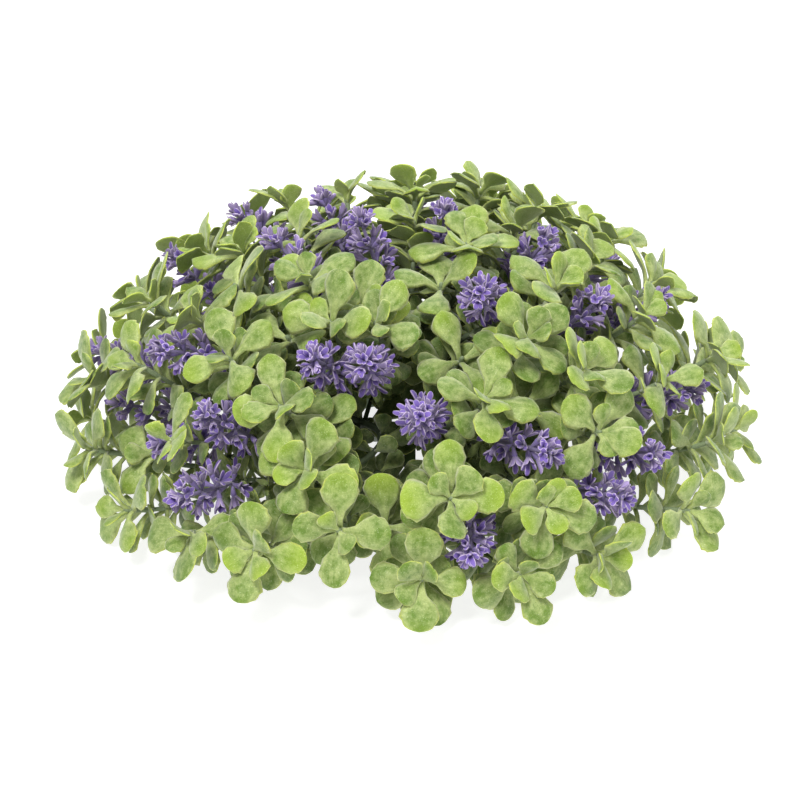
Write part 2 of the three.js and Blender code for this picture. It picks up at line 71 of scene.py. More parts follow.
# Each pick's socket as azimuth and elevation, its rosettes, with their share of the dome where they lie
# deeper, and its lavender heads as foot and tip, with the tip's share where it isn't the usual one.
picks = [
    dict(at=(-10, 12), rosettes=[(-12, 19), (-25, 12), (2, 8), (-5, 14, 0.82)], heads=[(16, 17, 9, 16)]),
    dict(at=(30, 12), rosettes=[(18, 7), (33, 6), (24, 22), (37, 14, 0.86)],
         heads=[(40, 13, 37, 21), (52, 21, 47, 26)]),
    dict(at=(70, 12), rosettes=[(52, 8), (65, 17), (80, 8), (73, 23, 0.86)], heads=[(74, 24, 66, 31)]),
    dict(at=(110, 12), rosettes=[(97, 15), (109, 5), (124, 12), (104, 11, 0.85)], heads=[]),
    dict(at=(150, 12), rosettes=[(139, 7), (154, 18), (167, 7)], heads=[(152, 25, 153, 27, 1.08)]),
    dict(at=(-170, 12), rosettes=[(-175, 18), (-162, 6), (-150, 16)], heads=[]),
    dict(at=(-130, 12), rosettes=[(-138, 6), (-117, 18), (-118, 4)], heads=[(-128, 14, -117, 37)]),
    dict(at=(-90, 12), rosettes=[(-71, 10), (-89, 4, 0.985), (-101, 14), (-80, 12, 0.86)],
         heads=[(-78, 25, -96, 19, 1.11), (-72, 21, -76, 20, 1.03)]),
    dict(at=(-50, 12), rosettes=[(-55, 5), (-38, 10), (-51, 26), (-60, 16, 0.9)],
         heads=[(-44, 15, -40, 19), (-62, 20, -55, 23, 1.03)]),
    dict(at=(26, 40), rosettes=[(7, 27), (18, 46), (41, 33), (31, 43, 0.84)],
         heads=[(5, 44, 2, 44, 1.15), (17, 40, 27, 33)]),
    dict(at=(77, 40), rosettes=[(85, 26), (62, 35), (95, 44), (76, 46)], heads=[(95, 38, 86, 45)]),
    dict(at=(129, 40), rosettes=[(111, 32), (130, 44), (146, 33), (113, 50)],
         heads=[(127, 34, 128, 32, 1.04)]),
    dict(at=(180, 40), rosettes=[(166, 34), (179, 47), (-163, 34), (157, 47)], heads=[(-176, 44, 180, 38)]),
    dict(at=(-129, 40), rosettes=[(-142, 34), (-127, 31), (-115, 45), (-150, 48, 0.95)],
         heads=[(-134, 24, -139, 20, 1.04)]),
    dict(at=(-77, 40), rosettes=[(-84, 20), (-94, 38), (-70, 34), (-75, 47, 0.95)],
         heads=[(-77, 44, -64, 41, 1.15)]),
    dict(at=(-26, 40), rosettes=[(-20, 30), (-30, 42), (-50, 47), (-24, 37, 0.82)],
         heads=[(-16, 57, -11, 54, 1.18), (-45, 26, -42, 37, 1.15)]),
    dict(at=(36, 66), rosettes=[(44, 46), (35, 56), (62, 62), (19, 58, 0.85)],
         heads=[(91, 68, 24, 66, 1.2), (72, 52, 65, 56, 1.17)]),
    dict(at=(108, 66), rosettes=[(74, 57), (110, 70), (130, 59), (94, 57)], heads=[(112, 64, 87, 68, 1.18)]),
    dict(at=(180, 66), rosettes=[(154, 61), (178, 68), (-155, 61), (-175, 58, 0.94)],
         heads=[(158, 71, 148, 79)]),
    dict(at=(-108, 66), rosettes=[(-100, 70), (-133, 60), (-74, 58), (-104, 57)],
         heads=[(-123, 64, -126, 51, 1.15)]),
    dict(at=(-36, 66), rosettes=[(-29, 62), (-12, 63), (-52, 68), (-48, 57, 0.88)],
         heads=[(-60, 74, -90, 67, 1.17), (-26, 56, -25, 53, 1.17)]),
    dict(at=(0, 90), rosettes=[(80, 80), (175, 82), (-25, 69, 0.9), (30, 78, 0.86)],
         heads=[(-70, 85, -83, 82, 1.22), (-134, 70, -144, 63)]),
]

# The Park-Miller draw, from 0 to 1: the last number times 16807, modulo 2^31 - 1.
drawn = 20243
drawModulus = 2 ** 31 - 1


def draw():
    global drawn
    drawn = (drawn * 16807) % drawModulus
    return drawn / drawModulus


def spreadDraw(reach):
    return reach * (2 * draw() - 1)


def unit(v):
    return v / np.linalg.norm(v)


def direction(azimuth, elevation):
    a, e = math.radians(azimuth), math.radians(elevation)
    return np.array([math.cos(e) * math.sin(a), -math.cos(e) * math.cos(a), math.sin(e)])


def domePoint(azimuth, elevation, share=1.0):
    d = direction(azimuth, elevation)
    return np.array([share * dome["radius"] * d[0], share * dome["radius"] * d[1],
                     dome["centreHeight"] + share * dome["rise"] * d[2]])


# The level direction across a stem that starts along the given one.
def levelAcross(along):
    across = np.cross((0.0, 0.0, 1.0), along)
    return unit(across) if np.linalg.norm(across) > 0.05 else np.array([1.0, 0.0, 0.0])


# v turned about a unit axis: v cos + (axis x v) sin + axis (axis . v)(1 - cos)
def turned(v, axis, degrees):
    c, s = math.cos(math.radians(degrees)), math.sin(math.radians(degrees))
    return v * c + np.cross(axis, v) * s + axis * (np.dot(axis, v) * (1 - c))


# Stations along a bent stem, as the point and the directions along and across it. The bend is a cubic curve
# that leaves start along one direction and reaches end along another; spin turns it evenly.
def bentStem(start, along, across, end, endAlong, steps, spin=0.0):
    reach = np.linalg.norm(end - start) * stem["stiffness"]
    knee = start + reach * along
    hip = end - reach * endAlong
    stations = []
    side = across
    for i in range(steps + 1):
        t = i / steps
        s = 1 - t
        point = s ** 3 * start + 3 * s * s * t * knee + 3 * s * t * t * hip + t ** 3 * end
        heading = unit(s * s * (knee - start) + 2 * s * t * (hip - knee) + t * t * (end - hip))
        side = unit(side - np.dot(side, heading) * heading)
        stations.append((point, heading, turned(side, heading, spin * t)))
    return stations


# The space that is already taken, as cells that hold the number of their owner. 0 is free and -1 is nobody's.
# Cells are counted from offset mm before the origin, and the array begins at cell number start of each axis.
cell = 1.3
grid = dict(offset=400.37, start=(170, 170, 300), cells=(272, 272, 110))
taken = np.zeros(grid["cells"], dtype=np.int32)


def cellsOf(points):
    cells = np.floor((points + grid["offset"]) / cell).astype(int) - grid["start"]
    return np.clip(cells, 0, np.array(taken.shape) - 1)


def take(points, reach, owner):
    steps = math.ceil(reach / cell)
    span = np.arange(-steps, steps + 1)
    i, j, k = np.meshgrid(span, span, span, indexing="ij")
    keep = (i * i + j * j + k * k) * cell * cell <= reach * reach
    ball = np.stack([i[keep], j[keep], k[keep]], axis=1) * cell
    cells = cellsOf((np.asarray(points)[:, None, :] + ball[None, :, :]).reshape(-1, 3))
    place = tuple(cells.T)
    before = taken[place]
    taken[place] = np.where((before == 0) | (before == owner), owner, -1)


def isFree(points, owner):
    if (points[:, 2] <= aboveFloor["leaf"]).any():
        return False
    holders = taken[tuple(cellsOf(points).T)]
    return bool(((holders == 0) | (holders == owner)).all())


# Points between some others, at most spacing apart.
def between(points, spacing):
    out = []
    for a, b in zip(points, points[1:]):
        count = math.ceil(np.linalg.norm(b - a) / spacing)
        out += [a + (b - a) * ((j + 0.5) / count) for j in range(count)]
    return np.array(out)


# Half width of a spatulate leaf at share u of its length, as a share of the greatest.
def plainProfile(u):
    return np.sin(np.pi * u ** 1.75) ** 0.62


# Points of a leaf's middle surface: u runs along it, v from -1 to 1 across, lift is the height above it.
def leafPoints(leaf, u, v, lift=0.0, profile=plainProfile):
    start = math.radians(leaf["spread"])
    bend = math.radians(leaf["arch"])
    angle = start + bend * u
    along = leaf["length"] * (np.sin(angle) - math.sin(start)) / bend
    out = -leaf["length"] * (np.cos(angle) - math.cos(start)) / bend
    halfWidth = leaf["halfWidth"] * profile(u)
    raised = leaf["cup"] * halfWidth * v * v + lift
    return (leaf["root"] + (along + raised * np.sin(angle))[..., None] * leaf["axis"]
            + (out - raised * np.cos(angle))[..., None] * leaf["out"]
            + (halfWidth * v)[..., None] * leaf["side"])


# A leaf is clear where these points of it are.
sampleU, sampleV = np.meshgrid((0.32, 0.44, 0.56, 0.68, 0.8, 0.92), (-1, -0.5, 0, 0.5, 1), indexing="ij")
sampleU = np.append(sampleU.ravel(), 1.0)
sampleV = np.append(sampleV.ravel(), 0.0)


def leafSamples(leaf):
    return leafPoints(leaf, sampleU, sampleV)


# Face number k of a stem station points this way, turned by some more degrees.
def faceOut(station, k, more=0.0):
    return turned(station[2], station[1], (k - 1) * 90 + more)


def makeLeaf(form, station, rise, k, more, pair, wobble):
    out = faceOut(station, k, more + wobble["turn"])
    return dict(root=station[0] + rise * station[1], axis=station[1], out=out,
                side=np.cross(station[1], out), spread=form["spread"][pair] + wobble["spread"],
                arch=form["arch"] + wobble["arch"], length=form["length"] * wobble["size"],
                halfWidth=form["halfWidth"] * wobble["size"] * wobble["width"], cup=form["cup"])


def drawWobble():
    return dict(spread=spreadDraw(leafDraw["spread"]), arch=spreadDraw(leafDraw["arch"]),
                size=1 + spreadDraw(leafDraw["size"]), width=1 + spreadDraw(leafDraw["width"]),
                turn=spreadDraw(leafDraw["turn"]))


# The leaf as drawn, or the first gentler one that clears what is there, or nothing.
def fitted(leaf, owner):
    for size in gentler["sizes"]:
        for lean in gentler["leans"]:
            tried = dict(leaf, spread=leaf["spread"] + lean, length=leaf["length"] * size,
                         halfWidth=leaf["halfWidth"] * size)
            if isFree(leafSamples(tried), owner):
                return tried


# Adds a leaf to the others where it can be fitted in, and takes its room.
def placeLeaf(leaf, room, owner, others):
    made = fitted(leaf, owner)
    if made:
        take(leafSamples(made), room, owner)
        others.append(made)


# Four leaves round a stem, a quarter turn apart.
def placeFour(form, station, turn, tier, owner, others, size=1.0):
    for k in range(4):
        wobble = drawWobble()
        wobble["size"] *= size
        leaf = makeLeaf(form, station, 0, k, turn, k % 2, wobble)
        placeLeaf(dict(leaf, tier=tier), form["room"], owner, others)


# The layout: every stem first, then the heads, then the rosettes, each clear of what came before.
owners = 0


def nextOwner():
    global owners
    owners += 1
    return owners


def layOutPick(pick):
    along = direction(*pick["at"])
    across = levelAcross(along)

    def fork(distance):
        return [((socketMouth + distance + rise) * along, along, across) for rise in (0, stem["forkHeight"])]

    pick.update(along=along, across=across, lowFork=fork(stem["sprigsAt"]), fork=fork(stem["forkAt"]),
                owner=nextOwner())
    take(between([np.zeros(3), pick["fork"][1][0]], stemRoom["spacing"]), stemRoom["main"], pick["owner"])
    # The rosette nearest the socket's own direction ends the main stem; the others end twigs.
    order = sorted(pick["rosettes"], key=lambda spot: -np.dot(unit(domePoint(*spot[:2])), along))
    pick["branches"] = []
    for place, (azimuth, elevation, *rest) in enumerate(order):
        share = rest[0] if rest else 1
        end = domePoint(azimuth, elevation, share + spreadDraw(rosette["shareDraw"]))
        sideways = azimuth + spreadDraw(rosette["azimuthDraw"])
        upwards = rosette["lift"] + rosette["follow"] * elevation + spreadDraw(rosette["elevationDraw"])
        pick["branches"].append(dict(end=end, facing=direction(sideways, upwards), main=place == 0,
                                     bare=share < rosette["bareShare"], owner=nextOwner()))
    pick["sprigs"] = []
    for footAzimuth, footElevation, tipAzimuth, tipElevation, *share in pick["heads"]:
        tip = domePoint(tipAzimuth, tipElevation, share[0] if share else head["tipShare"])
        facing = unit(tip - domePoint(footAzimuth, footElevation, head["aimShare"]))
        pick["sprigs"].append(dict(end=tip - head["length"] * facing, facing=facing, tip=tip, main=False,
                                   owner=nextOwner()))
    twigs = [branch for branch in pick["branches"] if not branch["main"]]
    for grown, station in ((twigs, pick["fork"]), (pick["sprigs"], pick["lowFork"])):
        freeFaces = [0, 1, 2, 3]
        for branch in grown:
            heading = branch["end"] - station[0][0]
            freeFaces.sort(key=lambda k: -np.dot(faceOut(station[0], k), heading))
            branch["fork"] = station
            branch["face"] = freeFaces.pop(0)


def stemStart(pick, branch):
    if branch["main"]:
        return pick["fork"][1]
    bottom = branch["fork"][0]
    out = faceOut(bottom, branch["face"])
    middle = bottom[0] + stem["forkHeight"] / 2 * pick["along"]
    return middle + stem["mainReach"] * math.sqrt(0.5) * out, out, np.cross(pick["along"], out)


def routed(pick, branch, steps, spin=0.0):
    point, along, across = stemStart(pick, branch)
    return bentStem(point, along, across, branch["end"], branch["facing"], steps, spin)


# Stations of a stem that would dip under the floor lie on it.
def onFloor(stations):
    return [(np.array([point[0], point[1], max(point[2], aboveFloor["stem"])]), along, across)
            for point, along, across in stations]


# How far each station of a stem is from its tip, walked along it.
def fromTip(stations):
    points = np.array([station[0] for station in stations])
    return np.append(np.cumsum(np.linalg.norm(np.diff(points[::-1], axis=0), axis=1))[::-1], 0.0)


def layOutRosette(pick, branch):
    wobbles = [drawWobble() for _ in range(4 if branch["bare"] else 6)]

    # The four big leaves, then the two heart leaves.
    def leavesAt(spin):
        top = routed(pick, branch, stemSteps["end"], spin)[-1]
        big = [makeLeaf(bigLeaf, top, rosette["tierHeight"] / 2, i, 0, i % 2, wobble)
               for i, wobble in enumerate(wobbles[:4])]
        return big + [makeLeaf(heartLeaf, top, heartMiddle, 2 * i, rosette["spin"], i, wobble)
                      for i, wobble in enumerate(wobbles[4:])]

    best = -1
    for spin in rosette["turns"]:
        count = sum(isFree(leafSamples(leaf), branch["owner"]) for leaf in leavesAt(spin)[:4])
        if count > best:
            best = count
            branch["spin"] = spin
    branch["leaves"] = []
    for leaf in leavesAt(branch["spin"]):
        placeLeaf(leaf, rosette["room"], branch["owner"], branch["leaves"])


for pick in picks:
    layOutPick(pick)
for pick in picks:
    for branch in pick["branches"] + pick["sprigs"]:
        points = [station[0] for station in routed(pick, branch, stemSteps["room"])]
        take(between(points, stemRoom["spacing"]), stemRoom["twig"], branch["owner"])
for pick in picks:
    for sprig in pick["sprigs"]:
        reach = sprig["tip"] - sprig["end"]
        points = [sprig["end"] + share * reach for share in (head["roomFrom"], head["roomTo"])]
        take(between(points, stemRoom["spacing"]), head["room"], sprig["owner"])
for pick in picks:
    for branch in pick["branches"]:
        layOutRosette(pick, branch)

# The solids leave out the middle leaves of a rosette: up to two, turned a little from its heart leaves.
middleLeaf = dict(length=15.5, halfWidth=4.9, spread=(20, 36), arch=38, cup=-0.1, room=2.1, share=0.6,
                  turn=24)


def layOutMiddle(pick, branch):
    top = routed(pick, branch, stemSteps["end"], branch["spin"])[-1]
    for k in (1, 3):
        more = rosette["spin"] + spreadDraw(middleLeaf["turn"])
        leaf = makeLeaf(middleLeaf, top, heartMiddle, k, more, k // 2, drawWobble())
        if draw() < middleLeaf["share"]:
            placeLeaf(leaf, middleLeaf["room"], branch["owner"], branch["leaves"])


for pick in picks:
    for branch in pick["branches"]:
        if not branch["bare"]:
            layOutMiddle(pick, branch)

# They also leave out the lower leaves: fours down each twig, each tier turned by an eighth from the last and
# smaller, fitted into the room that is left. The twig is bare over its last bit before the fork.
lowerLeaf = dict(length=18, halfWidth=5.5, spread=(62, 50), arch=40, cup=-0.12, room=2.1, bare=8, shrink=0.05)
lowerSteps = (6, 12, 19, 27, 36, 46, 57)


def layOutLower(pick, branch):
    stations = onFloor(routed(pick, branch, stemSteps["leaves"], branch["spin"]))
    walked = fromTip(stations)
    branch["lower"] = []
    for tier, distance in enumerate(lowerSteps):
        if distance > walked[0] - lowerLeaf["bare"]:
            break
        placeFour(lowerLeaf, stations[int(np.argmin(abs(walked - distance)))], 45 * (tier + 1), tier + 1,
                  branch["owner"], branch["lower"], 1.0 - lowerLeaf["shrink"] * tier)


# Leaves in fours round the main stem, between socket and fork, hide the cage. Their tier paints them darkest,
# as shade.
collarLeaf = dict(length=21, halfWidth=6, spread=(62, 76), arch=20, cup=-0.1, room=2.1, tier=9)
collarHeights = (2.6, 5.0, 7.4, 9.8)


def layOutCollar(pick):
    pick["collar"] = []
    for tier, height in enumerate(collarHeights):
        station = ((socketMouth + height) * pick["along"], pick["along"], pick["across"])
        placeFour(collarLeaf, station, 45 * (tier + 1), collarLeaf["tier"], pick["owner"], pick["collar"])


# The narrow leaves of a lavender stem, in fours from under its head down to the fork.
narrowLeaf = dict(length=9.5, halfWidth=1.5, spread=(44, 58), arch=34, cup=0.1, room=1.4, first=1.5, step=4.2,
                  bare=4)


def layOutNarrow(pick, sprig):
    stations = routed(pick, sprig, stemSteps["leaves"])
    walked = fromTip(stations)
    sprig["narrow"] = []
    distances = np.arange(narrowLeaf["first"], walked[0] - narrowLeaf["bare"], narrowLeaf["step"])
    for tier, distance in enumerate(distances):
        placeFour(narrowLeaf, stations[int(np.argmin(abs(walked - distance)))], 45 * tier, 0,
                  sprig["owner"], sprig["narrow"])


for pick in picks:
    for branch in pick["branches"]:
        layOutLower(pick, branch)
for pick in picks:
    layOutCollar(pick)
for pick in picks:
    for sprig in pick["sprigs"]:
        layOutNarrow(pick, sprig)
for kind, grown in (("leaves", "branches"), ("lower", "branches"), ("narrow", "sprigs")):
    print("layout:", kind, sum(len(shoot[kind]) for pick in picks for shoot in pick[grown]))


# A tube of rings: ring i, side j is at rings[i, j]. Its sides are quads. In a loop the last ring joins the
# first, and otherwise a face closes each end.
def ringFaces(rows, sides, start, loop):
    i, j = np.meshgrid(np.arange(rows if loop else rows - 1), np.arange(sides), indexing="ij")
    after, above = (j + 1) % sides, (i + 1) % rows
    quads = np.stack([i * sides + j, i * sides + after, above * sides + after, above * sides + j], axis=-1)
    faces = (quads.reshape(-1, 4) + start).tolist()
    if loop:
        return faces
    faces.append(list(range(start + sides - 1, start - 1, -1)))
    faces.append(list(range(start + (rows - 1) * sides, start + rows * sides)))
    return faces


def addObject(name, data):
    made = bpy.data.objects.new(name, data)
    bpy.context.collection.objects.link(made)
    return made


# A piece made of many tubes, with one value of each attribute for every point.
class Piece:
    def __init__(self, name, material, slot, nodes, attributes=()):
        self.name = name
        self.material = material
        self.slot = slot
        self.nodes = nodes
        self.points = []
        self.faces = []
        self.values = {attribute: [] for attribute in attributes}
        self.count = 0

    def add(self, rings, loop=False, **values):
        rows, sides = rings.shape[:2]
        self.points.append(rings.reshape(-1, 3))
        self.faces += ringFaces(rows, sides, self.count, loop)
        self.count += rows * sides
        for attribute, stored in self.values.items():
            stored.append(np.broadcast_to(values.get(attribute, 0.0), (rows, sides)).ravel())

    def finish(self):
        mesh = bpy.data.meshes.new(self.name)
        mesh.from_pydata((np.concatenate(self.points) * metre).tolist(), [], self.faces)
        mesh.shade_smooth()
        for attribute, stored in self.values.items():
            layer = mesh.attributes.new(attribute, "FLOAT", "POINT")
            layer.data.foreach_set("value", np.concatenate(stored).astype(np.float32))
        mesh.materials.append(self.material)
        made = addObject(self.name, mesh)
        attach(made, "root")
        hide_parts(*self.nodes)


# Rings round a path: point + radius (cos a across + sin a over), with over = along x across.
def pathRings(points, alongs, acrosses, radii, sides):
    a = np.arange(sides) * 2 * np.pi / sides
    overs = np.cross(alongs, acrosses)
    arms = np.cos(a)[None, :, None] * acrosses[:, None, :] + np.sin(a)[None, :, None] * overs[:, None, :]
    return points[:, None, :] + radii[:, None, None] * arms


def stationArrays(stations):
    return tuple(np.array([station[k] for station in stations]) for k in range(3))


# Half width of a leaf or petal at share u of its length: a rising sine up to the widest place, then a quarter
# ellipse to the round tip, joined with the petiole as (blade^4 + petiole^4)^(1/4).
def roundProfile(form, u):
    s = np.clip((u - form["base"]) / (1 - form["base"]), 0, 1)
    rising = np.sin(np.pi / 2 * np.clip(s / form["widest"], 0, 1)) ** form["neck"]
    closing = np.sqrt(np.clip(1 - (np.clip(s - form["widest"], 0, 1) / (1 - form["widest"])) ** 2, 0, 1))
    stalk = form["petiole"] * np.sqrt(np.clip(1 - u * u, 0, 1))
    return (np.where(s < form["widest"], rising, closing) ** 4 + stalk ** 4) ** 0.25


# Shares of the length where a form has its rings, close together round the tip. The last ring stays a little
# short of the tip, so that its end face isn't a point.
def ringShares(form):
    turn = form["base"] + (1 - form["base"]) * form["widest"]
    swing = np.radians(np.linspace(0, 87, form["stations"] - form["baseStations"]))
    return np.concatenate([np.linspace(0, turn, form["baseStations"] + 1)[:-1],
                           turn + (1 - turn) * np.sin(swing)])


# Rings of a leaf: v = cos |cos|^-0.4 across it and t/2 sin above it, so that its rim is round and its face
# nearly flat. The blade, full from half the length on, waves by sin(2 pi k u + a) cos(2v + b). A groove
# exp(-(v / 0.2)^2) runs along its middle, and its roll lifts one side and lowers the other.
def leafRings(leaf, form, rng):
    u = ringShares(form)[:, None]
    a = (np.arange(form["sides"]) * 2 * np.pi / form["sides"])[None, :]
    v = np.sign(np.cos(a)) * np.abs(np.cos(a)) ** 0.6
    blade = np.clip((u - 0.2) / 0.3, 0, 1)
    thickness = form["thickness"] * (1 + (form["stalkThickness"] - 1) * (1 - blade))
    thickness = thickness * np.sqrt(np.clip(1 - u ** 8, 0.05, 1))
    wave = form["wave"] * blade * np.sin(2 * np.pi * form["waves"] * u + rng.uniform(0, 6.3)) \
        * np.cos(2 * v + rng.uniform(0, 6.3))
    ragged = 1 + form["ragged"] * rng.uniform(-1, 1, (len(u), form["sides"]))
    groove = form["groove"] * blade * (1 - u ** 4) * np.exp(-(v / 0.2) ** 2)
    rolled = leaf.get("roll", 0) * blade * roundProfile(form, u) * leaf["halfWidth"] * v
    lift = thickness / 2 * np.sin(a) + wave - groove + rolled
    rings = leafPoints(leaf, u + 0 * a, v * ragged, lift, lambda shares: roundProfile(form, shares))
    return rings, u, np.abs(v) + 0 * u, (np.sin(a) < -0.01) + 0 * u


def linear(hexText):
    values = [int(hexText[i:i + 2], 16) / 255 for i in (1, 3, 5)]
    return tuple(c / 12.92 if c <= 0.04045 else ((c + 0.055) / 1.055) ** 2.4 for c in values) + (1.0,)


# Sets a node's inputs, given in their order or by name or number: a socket is linked, and a value is set.
def feed(tree, node, inputs):
    for key, value in inputs.items() if isinstance(inputs, dict) else enumerate(inputs):
        if isinstance(value, bpy.types.NodeSocket):
            tree.links.new(value, node.inputs[key])
        else:
            node.inputs[key].default_value = value


def addNode(tree, kind, inputs=(), **settings):
    made = tree.nodes.new(kind)
    for key, value in settings.items():
        setattr(made, key, value)
    feed(tree, made, inputs)
    return made


# A moulded material with its grain, the bump that the grain gives it, and the attributes that it reads.
def startMoulded(look, attributes=()):
    material = bpy.data.materials.new(look["name"])
    material.use_nodes = True
    tree = material.node_tree
    place = addNode(tree, "ShaderNodeTexCoord").outputs["Object"]
    grain = addNode(tree, "ShaderNodeTexNoise", {
        "Vector": place, "Scale": 1 / (look["grain"] * metre), "Detail": look["grainDetail"],
        "Roughness": look["grainMix"]}).outputs["Fac"]
    bump = addNode(tree, "ShaderNodeBump", {
        "Height": grain, "Strength": look["grainBump"], "Distance": look["grainDepth"] * metre})
    feed(tree, tree.nodes["Principled BSDF"], {"Normal": bump.outputs[0], **look["shader"]})
    reads = [addNode(tree, "ShaderNodeAttribute", attribute_name=name).outputs["Fac"] for name in attributes]
    return material, tree, grain, reads


# A base colour of layers, each laid over the last by its share, or multiplied with it. The numbers are a Mix
# node's sockets for the share, the two colours and what comes of them.
def layColours(tree, colour, layers):
    for share, laid, *blend in layers:
        laid = linear(laid) if isinstance(laid, str) else laid
        colour = addNode(tree, "ShaderNodeMix", {0: share, 6: colour, 7: laid}, data_type="RGBA",
                         blend_type=blend[0] if blend else "MIX").outputs[2]
    feed(tree, tree.nodes["Principled BSDF"], {"Base Color": colour})


leafAttributes = ("along", "across", "under", "tone", "depth")

# Boxwood leaves: soft polyethylene, injection moulded and dusted with pale flock. The flock makes it dull and
# frosted; it is thin towards the tips, where the green shows through, and worn to yellow-green on the rims. A
# little light passes through the thin blade. The grain is coarser than the real 0.3 mm fibres, to show.
# Each group of four turns what lies between its first two numbers into what lies between its last two.
flocked = dict(
    name="flocked_polyethylene_leaf",
    # The inner colour is painted shade, which the leaves take near the cage; outer is their own green.
    inner="#4F6A22", outer="#64841E", frost="#B8C47E", fresh="#96AE28", rim="#CAD65A", under="#8A9E42",
    fleck="#DDE3BE", underShare=0.7,
    grain=0.45, grainDetail=2.0, grainMix=0.7, grainBump=0.55, grainDepth=0.10,
    patch=3.2, patchDetail=5.0, patchMix=0.66, patchBump=0.7, patchDepth=0.3,
    streak=2.1, streakDetail=3.0, streakMix=0.62, streakAcross=2.6, streakSeed=37.0,
    thinning=(0.15, 1.0, 0.78, 0.12), patchy=(0.34, 0.68, -0.32, 0.48), streaky=(0.34, 0.66, -0.12, 0.17),
    ring=(0.5, 0.92, -0.1, 0.22), frostThinnedInShade=(0.0, 1.0, 0.7, 1.0), freshness=(0.45, 0.95, 0.0, 0.8),
    edge=(0.88, 0.97, 0.0, 1.0), speckle=(0.3, 0.7, 0.84, 1.1), loose=(0.63, 0.74, 0.0, 0.65),
    paintedShadeDepth=(0.0, 1.0, 0.8, 1.0), varied=(0.0, 1.0, 0.82, 1.06),
    shader={"Roughness": 0.66, "Subsurface Weight": 0.32, "Subsurface Radius": (1.0, 1.0, 0.35),
            "Subsurface Scale": 1.2 * metre, "Sheen Weight": 0.3, "Sheen Roughness": 0.5},
)


def makeFlocked(look):
    material, tree, grain, (along, across, under, tone, depth) = startMoulded(look, leafAttributes)
    place = addNode(tree, "ShaderNodeTexCoord").outputs["Object"]
    patches = addNode(tree, "ShaderNodeTexNoise", {
        "Vector": place, "Scale": 1 / (look["patch"] * metre), "Detail": look["patchDetail"],
        "Roughness": look["patchMix"]}).outputs["Fac"]
    widened = addNode(tree, "ShaderNodeMath", (across, look["streakAcross"]), operation="MULTIPLY").outputs[0]
    seeded = addNode(tree, "ShaderNodeMath", (tone, look["streakSeed"]), operation="MULTIPLY").outputs[0]
    stretched = addNode(tree, "ShaderNodeCombineXYZ", (widened, along, seeded)).outputs[0]
    streaks = addNode(tree, "ShaderNodeTexNoise", {
        "Vector": stretched, "Scale": look["streak"], "Detail": look["streakDetail"],
        "Roughness": look["streakMix"]}).outputs["Fac"]
    tipTone = addNode(tree, "ShaderNodeMath", (tone, along), operation="MULTIPLY").outputs[0]
    thinning, patchy, streaky, ring, frostThinnedInShade, freshness, edge, speckle, loose, paintedShadeDepth, varied = [
        addNode(tree, "ShaderNodeMapRange", (read, *look[name])).outputs[0] for name, read in (
            ("thinning", along), ("patchy", patches), ("streaky", streaks), ("ring", across),
            ("frostThinnedInShade", depth), ("freshness", tipTone), ("edge", across), ("speckle", grain),
            ("loose", grain), ("paintedShadeDepth", depth), ("varied", tone))]
    # Flock lies thickest near the petiole, in patches, in streaks along the blade, and in a pale ring inside
    # the rim. Near the cage less of it is laid on, so that the leaves there come out darker: painted shade.
    uneasy = addNode(tree, "ShaderNodeMath", (patchy, streaky), operation="ADD").outputs[0]
    ringed = addNode(tree, "ShaderNodeMath", (uneasy, ring), operation="ADD").outputs[0]
    laid = addNode(tree, "ShaderNodeMath", (thinning, ringed), operation="ADD", use_clamp=True).outputs[0]
    cover = addNode(tree, "ShaderNodeMath", (laid, frostThinnedInShade), operation="MULTIPLY").outputs[0]
    # The underside is paler and the rims are worn, most of all at the tip.
    shaded = addNode(tree, "ShaderNodeMath", (under, look["underShare"]), operation="MULTIPLY").outputs[0]
    edged = addNode(tree, "ShaderNodeMath", (edge, along), operation="MULTIPLY").outputs[0]
    # Leaves nearer the cage are painted darker, as shade, and no two took the flock alike.
    strength = addNode(tree, "ShaderNodeMath", (paintedShadeDepth, varied), operation="MULTIPLY").outputs[0]
    # Some leaves are fresher, most of all at the tip. Loose fibres lie on the grainy flock as pale flecks.
    # The first layer is painted shade: near the cage the leaves keep the darker inner colour.
    layColours(tree, linear(look["inner"]), (
        (depth, look["outer"]), (cover, look["frost"]), (freshness, look["fresh"]), (shaded, look["under"]),
        (edged, look["rim"]), (1.0, speckle, "MULTIPLY"), (loose, look["fleck"]),
        (1.0, strength, "MULTIPLY")))
    # The skin is uneven under the grain's bump, which is the first one made.
    uneven = addNode(tree, "ShaderNodeBump", {
        "Height": patches, "Strength": look["patchBump"], "Distance": look["patchDepth"] * metre})
    feed(tree, tree.nodes["Bump"], {"Normal": uneven.outputs[0]})
    return material


# Stems: the same moulding, with thinner flock. Grey-green, with painted shade that makes them duller and
# darker towards the cage.
stalks = dict(name="flocked_polyethylene_stem", inner="#39452F", outer="#83926E",
              grain=0.5, grainDetail=2.0, grainMix=0.7, grainBump=0.5, grainDepth=0.12,
              speckle=(0.3, 0.7, 0.8, 1.12), shader={"Roughness": 0.72})


def makeStalk(look):
    material, tree, grain, (depth,) = startMoulded(look, ("depth",))
    speckle = addNode(tree, "ShaderNodeMapRange", (grain, *look["speckle"])).outputs[0]
    # The inner colour near the cage is painted shade.
    layColours(tree, linear(look["inner"]), ((depth, look["outer"]), (1.0, speckle, "MULTIPLY")))
    return material


# Lavender florets: soft polyethylene moulded in violet and dusted with white flock, which gathers on the rims
# and at the grey-green bases and leaves the folds deep violet.
floretAttributes = leafAttributes[:4]
dusty = dict(
    name="flocked_violet_floret", deep="#533A9C", body="#967FB6", dusted="#CFC2D4", base="#7C7290",
    grain=0.4, grainDetail=2.0, grainMix=0.7, grainBump=0.5, grainDepth=0.08,
    folds=(0.64, 0.84, 0.3, 1.0), edge=(0.7, 1.0, 0.0, 1.0), foot=(0.05, 0.55, 0.85, 0.0),
    shade=(0.0, 1.0, 0.66, 1.2), backBody=0.7, backDust=0.25,
    shader={"Roughness": 0.75, "Sheen Weight": 0.2, "Sheen Roughness": 0.5},
)


